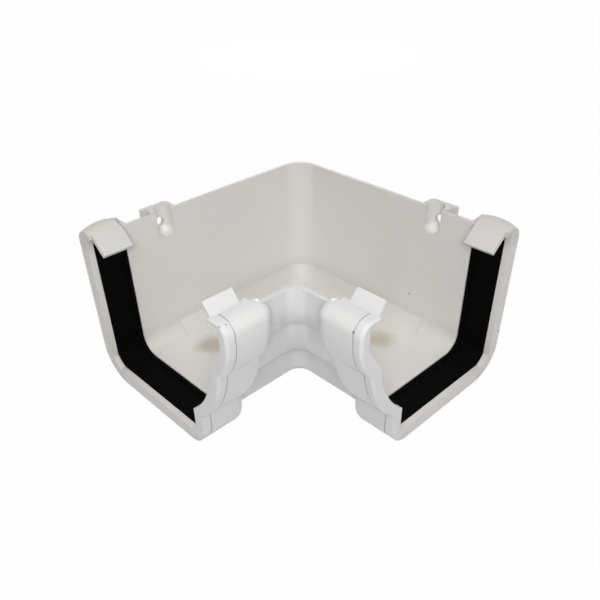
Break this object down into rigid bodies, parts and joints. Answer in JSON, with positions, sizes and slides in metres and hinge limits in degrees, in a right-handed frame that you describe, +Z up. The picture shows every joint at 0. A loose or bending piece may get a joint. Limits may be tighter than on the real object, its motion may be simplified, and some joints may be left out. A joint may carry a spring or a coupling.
{
  "type": "gutter angle",
  "caption": "Internal right-angle corner for an ogee rain gutter, with a sealed socket at each mouth, a hook and a tongue that hold the gutter, and a screw tab in each back wall.",
  "frame": {"origin": "centre of the bounding box in plan, at the height of the socket undersides", "axes": "+X and +Y along the runs, away from the corner, and +Z up. The fascia lies against the -Y side of the run along +X and against the -X side of the run along +Y."},
  "size_m": [0.1568, 0.1568, 0.0931],
  "materials": {
    "pvc": "smooth white moulded PVC-U with a soft gloss",
    "seal_rubber": "matte black EPDM"
  },
  "bodies": {
    "root": {"gutter_angle": "pvc", "seal_x": "seal_rubber", "seal_y": "seal_rubber"}
  },
  "joints": []
}
